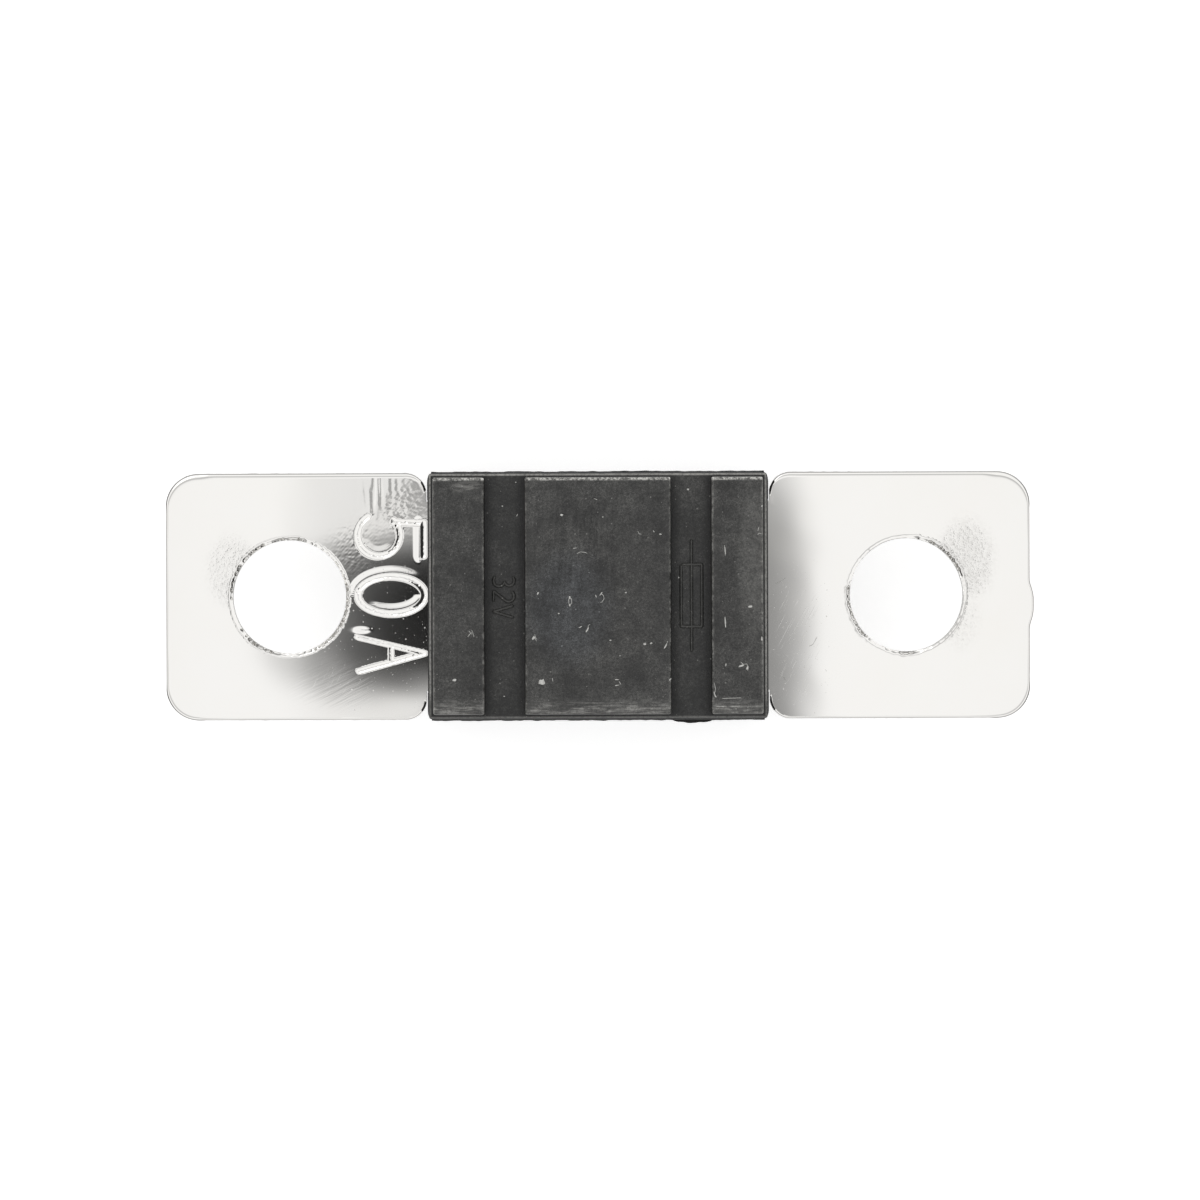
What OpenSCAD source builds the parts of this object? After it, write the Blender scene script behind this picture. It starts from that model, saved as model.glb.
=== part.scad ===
// Bolt-down strip fuse: one stamped metal strip, with a bolt hole at each end and a thin
// S-shaped link in the middle, clamped between two moulded shells that are welded together.
// X runs along the strip, Y across it and Z up. The origin is midway between the two bolt
// holes, on the underside of the strip, which is the face that seats on the stud blocks.

/* [Strip] */
// Width of the strip outside the housing
strip_width = 12.0; // [10.5:0.1:12.5]
// Thickness of the sheet that the strip is stamped from
strip_thickness = 1.0; // [0.8:0.1:1.4]
// Radius of the four corners at the free ends
end_corner_radius = 1.6; // [0.5:0.1:3]
// Radius of the four corners beside the housing
shoulder_corner_radius = 1.0; // [0.4:0.1:1.2]
// How far each side of the strip steps in where the housing holds it
shoulder_step = 1.4; // [1.2:0.1:2]
// Distance between the two bolt holes
bolt_spacing = 30.0; // [28.5:0.5:31.5]
// Distance from the middle of a bolt hole to the end of the strip
end_distance = 6.0; // [5:0.5:8]
// Diameter of the bolt holes, which clear an M5 stud
bolt_hole_diameter = 5.5; // [5.2:0.1:6]

/* [Parting stub] */
// Width of the sheared stub where the strip was cut from its carrier
stub_width = 2.4; // [1.5:0.1:3.5]
// How far the stub stands out of the end
stub_height = 0.2; // [0.05:0.05:0.4]
// How far the stub is off the middle of the strip
stub_offset = -0.45; // [-1:0.1:1]

/* [Fusible link] */
// Width of the ribbon that melts
link_width = 1.0; // [0.6:0.1:1.2]
// Radius of each bend of the S, to the middle of the ribbon
link_bend_radius = 0.9; // [0.7:0.05:1]
// Length of the straight leg between a bend and its foot
link_leg_length = 1.3; // [1.2:0.1:2]

/* [Housing] */
// Length of the housing at its parting line
housing_length = 16.6; // [16:0.1:18]
// How far the housing stands out past each side of the strip, at its parting line
side_overhang = 0.05; // [0:0.05:0.5]
// Height of the two shells together, over the pads
housing_height = 8.0; // [7:0.1:9]
// Radius of the housing's upright corners
housing_corner_radius = 0.5; // [0.3:0.1:1]
// How far each side wall leans in from the parting line to its top
wall_draft = 0.15; // [0.05:0.05:0.2]
// Radius along the top edge of the walls
wall_edge_radius = 0.09; // [0.05:0.01:0.2]

/* [Pads] */
// Length of each end pad
end_pad_length = 2.6; // [2:0.1:3]
// Width of the two grooves that part the pads
groove_width = 1.85; // [1.5:0.05:2.5]
// Height of the pads above the grooves
pad_height = 0.8; // [0.4:0.1:1]
// Width of the ledge left round the pads
ledge_width = 0.12; // [0.1:0.02:0.3]
// How far each side of a pad leans in over its height
pad_draft = 0.05; // [0:0.01:0.1]
// Radius of a pad's upright corners
pad_corner_radius = 0.3; // [0.1:0.05:0.6]
// Radius along the top edges of a pad
pad_edge_radius = 0.12; // [0.05:0.01:0.2]

/* [Shell inside] */
// Length of the chamber in which the link melts
chamber_length = 5.6; // [5.2:0.1:6]
// Thickness of the housing's side walls beside the chamber, at the parting line
side_wall = 1.35; // [1.1:0.05:1.8]
// Thickness of the shell over the chamber
roof_thickness = 1.1; // [0.9:0.1:1.5]
// Radius of the chamber's upright corners
chamber_corner_radius = 0.6; // [0.3:0.1:1.2]
// Diameter of the two pegs that pass through the strip
peg_diameter = 1.8; // [1.4:0.1:2.2]
// Length of a peg above the parting line
peg_length = 1.9; // [1.2:0.1:2.4]
// Distance from the middle of a peg to the near end of the housing
peg_inset = 1.8; // [1.5:0.1:3]
// Length of the bevel on the tip of a peg
peg_bevel = 0.25; // [0.1:0.05:0.4]

/* [Clearances] */
// Gap between the housing's end wall and the strip's shoulders
shoulder_gap = 0.05; // [0.03:0.01:0.15]
// Gap each side of the neck in its seat
neck_gap = 0.1; // [0.05:0.01:0.2]
// Gap round a peg, in the strip and in its socket
peg_gap = 0.06; // [0.04:0.01:0.1]
// Gap beyond the tip of a peg
peg_end_gap = 0.2; // [0.1:0.05:0.4]

/* [Hidden] */
$fn = 96;
// What a cut reaches past the face that it opens
overshoot = 0.5;

strip_length = bolt_spacing + 2 * end_distance;
neck_width = strip_width - 2 * shoulder_step;
housing_width = strip_width + 2 * side_overhang;
chamber_width = housing_width - 2 * side_wall;
peg_x = housing_length / 2 - peg_inset;
// Height of the parting line, at the middle of the strip's thickness
parting_z = strip_thickness / 2;
// Height of one shell, and of its walls up to the groove floors, from the parting line
shell_height = housing_height / 2;
wall_height = shell_height - pad_height;
// Where the pads may reach to, inside the top edge of the walls
pad_field_length = housing_length - 2 * (wall_draft + ledge_width);
pad_field_width = housing_width - 2 * (wall_draft + ledge_width);
middle_pad_length = pad_field_length - 2 * (end_pad_length + groove_width);
end_pad_x = (pad_field_length - end_pad_length) / 2;
// A pad is rooted this far into the wall block, so that the two are one solid
pad_root = 0.4;
chamber_depth = shell_height - roof_thickness;
// Where the strip's shoulders face the housing, and where its neck ends at the chamber
shoulder_x = housing_length / 2 + shoulder_gap;
neck_end_x = chamber_length / 2;

// A rectangle, centred on the origin, with its four corners rounded.
module rounded_rectangle(length, width, radius) {
    square([length - 2 * radius, width], center = true);
    square([length, width - 2 * radius], center = true);
    for (sx = [-1, 1], sy = [-1, 1])
        translate([sx * (length / 2 - radius), sy * (width / 2 - radius)])
            circle(radius);
}

// A raised profile that stands on the X axis: its sides lean in by draft over its height,
// and its two top corners are rounded.
module leaning_profile(length, height, draft, radius) {
    half = length / 2;
    lean = atan2(draft, height);
    // The rounding's centre lies radius from the top and radius from the leaning side.
    centre_x = half - draft * (height - radius) / height - radius / cos(lean);
    side_x = centre_x + radius * cos(lean);
    side_y = height - radius + radius * sin(lean);
    polygon([
        [-half, 0], [half, 0],
        [side_x, side_y], [centre_x, height],
        [-centre_x, height], [-side_x, side_y]
    ]);
    for (sx = [-1, 1])
        translate([sx * centre_x, height - radius])
            circle(radius);
}

// A block that stands on the XY plane, with leaning sides, rounded upright corners and
// rounded top edges.
module moulded_block(length, width, height, draft, edge_radius, corner_radius) {
    intersection() {
        linear_extrude(height)
            rounded_rectangle(length, width, corner_radius);
        rotate([90, 0, 0])
            linear_extrude(width + 2 * overshoot, center = true)
                leaning_profile(length, height, draft, edge_radius);
        rotate([90, 0, 90])
            linear_extrude(length + 2 * overshoot, center = true)
                leaning_profile(width, height, draft, edge_radius);
    }
}

// One pad, measured from the parting line, with its root down in the wall block.
module pad(centre_x, length) {
    root_draft = pad_draft * (pad_height + pad_root) / pad_height;
    translate([centre_x, 0, wall_height - pad_root])
        moulded_block(length, pad_field_width, pad_height + pad_root,
                      root_draft, pad_edge_radius, pad_corner_radius);
}

// The outside of a shell, standing on its parting line: the wall block and its three pads.
module shell_outside() {
    moulded_block(housing_length, housing_width, wall_height,
                  wall_draft, wall_edge_radius, housing_corner_radius);
    pad(0, middle_pad_length);
    for (side = [-1, 1])
        pad(side * end_pad_x, end_pad_length);
}

// What is hollow in both shells: the chamber round the link, and the seat of the strip's neck.
module shell_hollow() {
    translate([0, 0, -overshoot])
        linear_extrude(chamber_depth + overshoot)
            rounded_rectangle(chamber_length, chamber_width, chamber_corner_radius);
    translate([0, 0, -overshoot])
        linear_extrude(strip_thickness / 2 + overshoot)
            square([housing_length + 2 * overshoot, neck_width + 2 * neck_gap], center = true);
}

// Places its children at the two pegs.
module at_pegs() {
    for (side = [-1, 1])
        translate([side * peg_x, 0, 0])
            children();
}

// The lower shell's peg, from its seat under the strip up to its bevelled tip.
module peg() {
    seat_z = -strip_thickness / 2;
    translate([0, 0, seat_z - pad_root])
        cylinder(d = peg_diameter, h = peg_length - peg_bevel - seat_z + pad_root);
    translate([0, 0, peg_length - peg_bevel])
        cylinder(d1 = peg_diameter, d2 = peg_diameter - 2 * peg_bevel, h = peg_bevel);
}

// The socket in the upper shell that takes a peg.
module peg_socket() {
    translate([0, 0, -overshoot])
        cylinder(d = peg_diameter + 2 * peg_gap, h = peg_length + peg_end_gap + overshoot);
}

module upper_shell() {
    color([0.26, 0.26, 0.25])
        translate([0, 0, parting_z])
            difference() {
                shell_outside();
                shell_hollow();
                at_pegs() peg_socket();
            }
}

module lower_shell() {
    color([0.24, 0.24, 0.23])
        translate([0, 0, parting_z]) {
            mirror([0, 0, 1])
                difference() {
                    shell_outside();
                    shell_hollow();
                }
            at_pegs() peg();
        }
}

// Outline of the strip's right half: the tab with its two end corners and two shoulder
// corners, the sheared stub, and the neck up to the chamber.
module terminal_outline() {
    tab_length = strip_length / 2 - shoulder_x;
    outer_x = strip_length / 2;
    half_width = strip_width / 2;
    translate([shoulder_x + shoulder_corner_radius, -half_width])
        square([tab_length - shoulder_corner_radius - end_corner_radius, strip_width]);
    translate([shoulder_x, -(half_width - shoulder_corner_radius)])
        square([tab_length / 2, strip_width - 2 * shoulder_corner_radius]);
    translate([shoulder_x + tab_length / 2, -(half_width - end_corner_radius)])
        square([tab_length / 2, strip_width - 2 * end_corner_radius]);
    for (sy = [-1, 1]) {
        translate([outer_x - end_corner_radius, sy * (half_width - end_corner_radius)])
            circle(end_corner_radius);
        translate([shoulder_x + shoulder_corner_radius,
                   sy * (half_width - shoulder_corner_radius)])
            circle(shoulder_corner_radius);
    }
    translate([neck_end_x, -neck_width / 2])
        square([shoulder_x - neck_end_x + shoulder_corner_radius, neck_width]);
}

// The stub left at the right end by the shear that freed the strip from its carrier.
module parting_stub() {
    reach = stub_height + overshoot;
    translate([strip_length / 2 - overshoot, stub_offset - stub_width / 2])
        difference() {
            square([reach, stub_width]);
            for (sy = [0, 1])
                translate([reach, sy * stub_width])
                    rotate(45)
                        square(stub_height, center = true);
        }
}

// Half of the S-shaped ribbon, from the middle of the link to the right terminal: a bend
// under the X axis, a leg up, and a foot into the terminal.
module half_link() {
    inner = link_bend_radius - link_width / 2;
    outer = link_bend_radius + link_width / 2;
    leg_x = 2 * link_bend_radius - link_width / 2;
    foot_y = link_leg_length - link_width;
    translate([link_bend_radius, 0])
        difference() {
            circle(outer);
            circle(inner);
            translate([-outer - overshoot, 0])
                square([2 * (outer + overshoot), outer + overshoot]);
        }
    translate([leg_x, 0])
        square([link_width, link_leg_length]);
    translate([leg_x, foot_y])
        square([neck_end_x - leg_x + overshoot, link_width]);
}

module fuse_strip() {
    color([0.86, 0.85, 0.83])
        linear_extrude(strip_thickness)
            difference() {
                union() {
                    terminal_outline();
                    mirror([1, 0]) terminal_outline();
                    parting_stub();
                    half_link();
                    rotate(180) half_link();
                }
                for (side = [-1, 1]) {
                    translate([side * bolt_spacing / 2, 0])
                        circle(d = bolt_hole_diameter);
                    translate([side * peg_x, 0])
                        circle(d = peg_diameter + 2 * peg_gap);
                }
            }
}

fuse_strip();
upper_shell();
lower_shell();
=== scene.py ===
import bmesh
import bpy
import numpy as np
from mathutils import Matrix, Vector
from mathutils.geometry import tessellate_polygon


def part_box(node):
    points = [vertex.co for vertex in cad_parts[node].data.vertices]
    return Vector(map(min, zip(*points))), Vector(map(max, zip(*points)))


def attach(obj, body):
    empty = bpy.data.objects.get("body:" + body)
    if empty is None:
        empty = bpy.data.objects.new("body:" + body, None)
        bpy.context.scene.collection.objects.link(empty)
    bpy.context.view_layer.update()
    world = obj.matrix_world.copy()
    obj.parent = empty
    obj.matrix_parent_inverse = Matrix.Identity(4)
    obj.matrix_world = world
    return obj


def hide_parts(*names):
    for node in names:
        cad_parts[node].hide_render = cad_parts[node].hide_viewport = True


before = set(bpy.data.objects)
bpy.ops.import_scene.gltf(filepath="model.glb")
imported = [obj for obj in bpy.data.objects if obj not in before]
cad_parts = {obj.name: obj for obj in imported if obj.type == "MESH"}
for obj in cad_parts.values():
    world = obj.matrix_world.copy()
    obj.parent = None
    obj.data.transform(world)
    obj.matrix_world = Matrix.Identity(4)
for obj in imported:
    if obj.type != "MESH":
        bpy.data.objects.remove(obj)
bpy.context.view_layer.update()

# The whole fuse: one stamped strip held between two moulded shells. Lengths in this script
# are in millimetres, and MM turns them into Blender's metres.
MM = 0.001


# The view: the camera looks straight down on the fuse from far above. The photograph is
# 1200 pixels wide, and the two bolt holes in it give its scale, its place and its turn.
PHOTO_WIDTH = 1200
PIXELS_PER_MM = 20.57
HOLES_MIDDLE_PIXEL = (598.0, 595.8)
PHOTO_TURN = np.radians(0.2)
CAMERA_HEIGHT = 450.0
STRIP_TOP = 1.0
SENSOR = 36.0

camera_x = (PHOTO_WIDTH / 2 - HOLES_MIDDLE_PIXEL[0]) / PIXELS_PER_MM
camera_y = (HOLES_MIDDLE_PIXEL[1] - PHOTO_WIDTH / 2) / PIXELS_PER_MM
camera_data = bpy.data.cameras.new("camera")
camera_data.sensor_width = SENSOR
camera_data.lens = SENSOR * CAMERA_HEIGHT * PIXELS_PER_MM / PHOTO_WIDTH
camera_data.clip_start = 10 * MM
camera_data.clip_end = 5000 * MM
camera = bpy.data.objects.new("camera", camera_data)
camera.location = (camera_x * MM, camera_y * MM, (STRIP_TOP + CAMERA_HEIGHT) * MM)
camera.rotation_euler = (0, 0, -PHOTO_TURN)
bpy.context.scene.collection.objects.link(camera)
bpy.context.scene.camera = camera
bpy.context.scene.view_settings.view_transform = "Standard"


# The light: a white tent all round, dimmer low down at the two ends of the strip. The dark
# front of the camera shows in the bright metal as two soft patches straight overhead.
def add_node(tree, kind, settings=(), **inputs):
    """Adds a node of that kind, sets its properties, and fills its inputs, by name or by
    number written as i0, i1 and so on, from values or from other nodes' outputs."""
    node = tree.nodes.new(kind)
    for name, value in dict(settings).items():
        setattr(node, name, value)
    for name, value in inputs.items():
        key = int(name[1:]) if name[0] == "i" and name[1:].isdigit() else name.replace("_", " ")
        if isinstance(value, bpy.types.NodeSocket):
            tree.links.new(value, node.inputs[key])
        else:
            node.inputs[key].default_value = value
    return node


def maths(tree, operation, *values):
    """The output of a Math node that works on one, two or three values."""
    inputs = {f"i{number}": value for number, value in enumerate(values)}
    return add_node(tree, "ShaderNodeMath", {"operation": operation}, **inputs).outputs[0]


def soft_step(tree, value, low, high, at_low=0.0, at_high=1.0):
    """The output that goes smoothly from at_low to at_high as value goes from low to high."""
    return add_node(
        tree, "ShaderNodeMapRange", {"interpolation_type": "SMOOTHSTEP"},
        Value=value, From_Min=low, From_Max=high, To_Min=at_low, To_Max=at_high,
    ).outputs["Result"]


# Each patch: its middle and half sizes, as the flat strip shows them, how far it leans, how
# dark it is, the powers that shape it each way, and where the sum of the powers of the half
# sizes starts and ends its soft edge.
REFLECTED_PATCHES = [
    {"middle": (-8.0, -0.78), "half": (6.1, 3.73), "lean": 0.06, "dark": 0.995,
     "powers": (2.0, 4.0), "edge": (-0.18, 2.4)},
    {"middle": (4.3, -6.0), "half": (5.35, 12.0), "lean": 0.0, "dark": 0.72,
     "powers": (4.0, 4.0), "edge": (0.08, 2.6)},
    {"middle": (-6.6, 1.5), "half": (5.0, 6.0), "lean": 0.0, "dark": 0.16,
     "powers": (4.0, 4.0), "edge": (0.0, 12.0)},
    {"middle": (-8.3, 5.4), "half": (1.3, 1.3), "lean": 0.0, "dark": 0.55,
     "powers": (4.0, 4.0), "edge": (0.0, 4.0)},
]
# A dark band round the camera's field, by the tangent of the angle from straight up.
BAND = (0.03, 0.19, 0.26, 0.36)
BAND_DARK = 0.42

world = bpy.data.worlds.new("tent")
bpy.context.scene.world = world
world.use_nodes = True
tent = world.node_tree
tent.nodes.clear()
ray_way = add_node(tent, "ShaderNodeTexCoord").outputs["Generated"]
way = add_node(tent, "ShaderNodeSeparateXYZ", Vector=ray_way).outputs
across_x = maths(tent, "DIVIDE", way["X"], way["Z"])
across_y = maths(tent, "DIVIDE", way["Y"], way["Z"])
overhead = maths(tent, "GREATER_THAN", way["Z"], 0.5)
end_on = maths(
    tent, "DIVIDE", maths(tent, "POWER", way["X"], 2.0),
    maths(tent, "ADD", maths(tent, "ADD", maths(tent, "POWER", way["X"], 2.0),
                             maths(tent, "POWER", way["Y"], 2.0)), 1e-6),
)
low_down = soft_step(tent, way["Z"], 0.2, 0.6, 1.0, 0.0)
dim = maths(tent, "MULTIPLY", low_down, soft_step(tent, end_on, 0.2, 0.9, 0.6, 0.85))
off_axis = maths(tent, "SQRT", maths(tent, "ADD", maths(tent, "POWER", across_x, 2.0),
                                     maths(tent, "POWER", across_y, 2.0)))
band = maths(tent, "MULTIPLY", soft_step(tent, off_axis, BAND[0], BAND[1]),
             soft_step(tent, off_axis, BAND[2], BAND[3], BAND_DARK, 0.0))
band = maths(tent, "MULTIPLY", band, overhead)
brightness = maths(tent, "MULTIPLY", maths(tent, "SUBTRACT", 1.0, dim),
                   maths(tent, "SUBTRACT", 1.0, band))
for patch in REFLECTED_PATCHES:
    off_x = maths(tent, "SUBTRACT", across_x, (patch["middle"][0] - camera_x) / CAMERA_HEIGHT)
    off_y = maths(tent, "SUBTRACT", across_y, (patch["middle"][1] - camera_y) / CAMERA_HEIGHT)
    off_y = maths(tent, "SUBTRACT", off_y, maths(tent, "MULTIPLY", off_x, patch["lean"]))
    powers = [
        maths(tent, "POWER", maths(tent, "DIVIDE", off, half / CAMERA_HEIGHT), power)
        for off, half, power in zip((off_x, off_y), patch["half"], patch["powers"])
    ]
    inside = soft_step(tent, maths(tent, "ADD", *powers), *patch["edge"], patch["dark"], 0.0)
    shade = maths(tent, "SUBTRACT", 1.0, maths(tent, "MULTIPLY", inside, overhead))
    brightness = maths(tent, "MULTIPLY", brightness, shade)
seen_directly = add_node(tent, "ShaderNodeLightPath").outputs["Is Camera Ray"]
tent_strength = maths(tent, "MAXIMUM", brightness, seen_directly)
tent_light = add_node(tent, "ShaderNodeBackground", Color=(1, 1, 1, 1), Strength=tent_strength)
add_node(tent, "ShaderNodeOutputWorld", Surface=tent_light.outputs[0])

LAMP_HEIGHT = 250.0
lamp_data = bpy.data.lights.new("soft_lamp", "AREA")
lamp_data.shape = "DISK"
lamp_data.size = 160 * MM
lamp_data.energy = 0.035
lamp_data.specular_factor = 0.0
lamp = bpy.data.objects.new("soft_lamp", lamp_data)
lamp.location = (-120 * MM, 160 * MM, LAMP_HEIGHT * MM)
lamp.rotation_euler = (np.radians(-32), np.radians(-25), 0)
bpy.context.scene.collection.objects.link(lamp)

# The floor that the housing rests on. It glows faintly, so that it stays nearly white under
# the strip and keeps only a soft shadow.
FLOOR_HALF = 1500.0
FLOOR_GAP = 0.01
FLOOR_GLOW = 0.58
REFLECTED_GLOW = 0.2
floor_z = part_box("lower_shell")[0][2] - FLOOR_GAP * MM
floor_mesh = bpy.data.meshes.new("floor")
floor_mesh.from_pydata(
    [(x * FLOOR_HALF * MM, y * FLOOR_HALF * MM, floor_z) for x, y in
     ((-1, -1), (1, -1), (1, 1), (-1, 1))],
    [], [(0, 1, 2, 3)],
)
floor = bpy.data.objects.new("floor", floor_mesh)
bpy.context.scene.collection.objects.link(floor)
floor_material = bpy.data.materials.new("floor")
floor_material.use_nodes = True
paper = floor_material.node_tree
paper.nodes.clear()
matt = add_node(paper, "ShaderNodeBsdfDiffuse", Color=(0.8, 0.8, 0.8, 1))
sight = add_node(paper, "ShaderNodeLightPath").outputs
reflected = maths(paper, "MAXIMUM", sight["Is Glossy Ray"], sight["Is Transmission Ray"])
shown = maths(paper, "MAXIMUM", maths(paper, "MULTIPLY", sight["Is Camera Ray"], FLOOR_GLOW),
              maths(paper, "MULTIPLY", reflected, REFLECTED_GLOW))
glow = add_node(paper, "ShaderNodeEmission", Color=(1, 1, 1, 1), Strength=shown)
both = add_node(paper, "ShaderNodeAddShader", i0=matt.outputs[0], i1=glow.outputs[0])
add_node(paper, "ShaderNodeOutputMaterial", Surface=both.outputs[0])
floor_mesh.materials.append(floor_material)


# The strip: one piece of sheet metal, stamped out and bright plated. Its punched edges roll
# over on the upper side, and the rating is pressed into the left terminal beside the housing.
HOLE_X = 15.0
HOLE_RADIUS = 2.75
HALF_WIDTH = 6.0
END_X = 21.0
END_CORNER = 1.6
SHOULDER_X = 8.35
SHOULDER_CORNER = 1.0
NECK_HALF = 4.6
# The terminals' fine meshes end here, inside the housing, and the plain middle joins on.
JOIN_X = 7.9
STUB_HEIGHT = 0.2
STUB_SIDE = -0.45
STUB_HALF = 1.2


def line(start, end, step):
    """Points evenly along a straight line, at most step apart, without the last one."""
    start, end = np.array(start, float), np.array(end, float)
    count = max(2, int(np.ceil(np.linalg.norm(end - start) / step)))
    share = np.arange(count)[:, None] / count
    return start + (end - start) * share


def arc(middle, radius, first, last, step):
    """Points evenly along an arc from angle first to last, in degrees, without the last one."""
    turn = np.radians(last - first)
    count = max(4, int(np.ceil(abs(turn) * radius / step)))
    angle = np.radians(first) + turn * np.arange(count) / count
    return np.array(middle) + radius * np.stack([np.cos(angle), np.sin(angle)], axis=1)


def terminal_outline(fine, coarse, stub_height):
    """Outline of the right terminal, anticlockwise from the join with the middle. The side
    at the housing has points fine apart, and the rest coarse apart. A stub stands out of the
    end by stub_height times a bump, one plus the cosine of the distance over two."""
    inner_x = SHOULDER_X + SHOULDER_CORNER
    inner_y = HALF_WIDTH - SHOULDER_CORNER
    outer_x = END_X - END_CORNER
    outer_y = HALF_WIDTH - END_CORNER
    middle_x = inner_x + 3.3
    half = [
        line((JOIN_X, 0), (JOIN_X, -NECK_HALF), fine),
        line((JOIN_X, -NECK_HALF), (SHOULDER_X, -NECK_HALF), fine),
        line((SHOULDER_X, -NECK_HALF), (SHOULDER_X, -inner_y), fine),
        arc((inner_x, -inner_y), SHOULDER_CORNER, 180, 270, fine),
        line((inner_x, -HALF_WIDTH), (middle_x, -HALF_WIDTH), 1.3 * fine),
        line((middle_x, -HALF_WIDTH), (outer_x, -HALF_WIDTH), coarse),
        arc((outer_x, -outer_y), END_CORNER, 270, 360, 0.6 * coarse),
        line((END_X, -outer_y), (END_X, 0), 0.8 * coarse),
    ]
    lower = np.concatenate(half)
    upper = np.concatenate([lower[1:], [[END_X, 0]]])[::-1] * (1, -1)
    points = np.concatenate([lower, upper])
    aside = np.clip(np.abs(points[:, 1] - STUB_SIDE) / STUB_HALF, 0, 1)
    at_end = points[:, 0] > END_X - 0.001
    points[:, 0] += at_end * stub_height * (1 + np.cos(np.pi * aside ** 1.6)) / 2
    return points


def waves(x, y, lengths, count, seed, stretch=(1.0, 1.0)):
    """A rippled surface of height about one: the sum of count straight waves whose lengths
    lie between two values and whose directions and phases are drawn from the seed."""
    draw = np.random.default_rng(seed)
    total = np.zeros_like(x)
    for _ in range(count):
        angle = draw.uniform(0, 2 * np.pi)
        pitch = draw.uniform(*lengths)
        phase = draw.uniform(0, 2 * np.pi)
        along = x * np.cos(angle) / stretch[0] + y * np.sin(angle) / stretch[1]
        total += np.sin(2 * np.pi * along / pitch + phase)
    return total * np.sqrt(2 / count)


def smooth(value):
    """Goes smoothly from 0 to 1 as the value does, and stays there beyond."""
    value = np.clip(value, 0, 1)
    return value * value * (3 - 2 * value)


# The rating reads down the terminal, with the tops of its figures towards the housing. Each
# stroke has its own width, and where the punch squeezed metal out, a swelling on one side.
STROKE_DEPTH = 0.05
BOWL = {"middle": (-10.66, 2.98), "radius": 1.02, "from": -240, "to": 45}
NOUGHT = {"middle": (-10.05, 0.06), "half": (1.62, 0.91)}
RATING_STROKES = [
    {"name": "bowl", "half": 0.155, "swell": 0.0005, "towards": (0.2, 1.0)},
    {"name": "stem", "half": 0.15, "swell": 0.0, "towards": (0, 1),
     "points": [(-9.93, 3.62), (-8.47, 3.56)]},
    {"name": "flag", "half": 0.15, "swell": 0.0045, "towards": (-1.0, 0.0),
     "points": [(-8.47, 3.56), (-8.47, 1.98)]},
    {"name": "nought", "half": 0.165, "swell": 0.0029, "towards": (-0.52, 0.85)},
    {"name": "upper leg", "half": 0.12, "swell": 0.0, "towards": (0, 1),
     "points": [(-8.45, -2.76), (-11.7, -1.98)]},
    {"name": "lower leg", "half": 0.12, "swell": 0.0, "towards": (0, 1),
     "points": [(-8.45, -2.76), (-11.66, -3.64)]},
    {"name": "bar", "half": 0.12, "swell": 0.0, "towards": (0, 1),
     "points": [(-10.07, -2.42), (-10.07, -3.12)]},
]


def stroke_points(stroke):
    """The points along the middle of a stroke: those given, or an arc or an ellipse."""
    if stroke["name"] == "bowl":
        angle = np.radians(np.linspace(BOWL["from"], BOWL["to"], 60))
        round_shape = np.stack([np.cos(angle), np.sin(angle)], axis=1)
        return np.array(BOWL["middle"]) + BOWL["radius"] * round_shape
    if stroke["name"] == "nought":
        angle = np.linspace(0, 2 * np.pi, 90)
        round_shape = np.stack([np.cos(angle), np.sin(angle)], axis=1)
        return np.array(NOUGHT["middle"]) + np.array(NOUGHT["half"]) * round_shape
    return np.array(stroke["points"], float)


def away_from_line(x, y, points):
    """For each place, the distance to a line of points and the way from the line to it."""
    best = np.full(x.shape, 1e6)
    way_x, way_y = np.zeros_like(x), np.zeros_like(y)
    for start, end in zip(points[:-1], points[1:]):
        step = end - start
        share = ((x - start[0]) * step[0] + (y - start[1]) * step[1]) / (step @ step)
        share = np.clip(share, 0, 1)
        off_x = x - start[0] - share * step[0]
        off_y = y - start[1] - share * step[1]
        distance = np.hypot(off_x, off_y)
        nearer = distance < best
        best = np.where(nearer, distance, best)
        way_x = np.where(nearer, off_x, way_x)
        way_y = np.where(nearer, off_y, way_y)
    return best, way_x / (best + 1e-6), way_y / (best + 1e-6)


SWELL_FLAT = 0.07
SWELL_WIDTH = 0.3


def pressed_rating(x, y):
    """Height of the pressed rating: along each stroke a groove with a rounded bottom, and
    beside some of them a low swelling, level next to the groove and falling away from it."""
    groove = np.zeros_like(x)
    swelling = np.zeros_like(x)
    open_share = np.ones_like(x)
    for stroke in RATING_STROKES:
        distance, way_x, way_y = away_from_line(x, y, stroke_points(stroke))
        share = 1 - smooth(distance / stroke["half"])
        groove = np.maximum(groove, share)
        open_share = np.minimum(open_share, 1 - share)
        outside = distance - stroke["half"] - SWELL_FLAT
        towards = way_x * stroke["towards"][0] + way_y * stroke["towards"][1]
        facing = smooth((towards - 0.4) / 0.55)
        swell = stroke["swell"] * facing * (1 - smooth(outside / SWELL_WIDTH))
        swelling = np.maximum(swelling, swell)
    dots = 0.007 * waves(x, y, (0.14, 0.24), 14, 5) * smooth(groove)
    return dots - STROKE_DEPTH * groove + swelling * open_share


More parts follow.
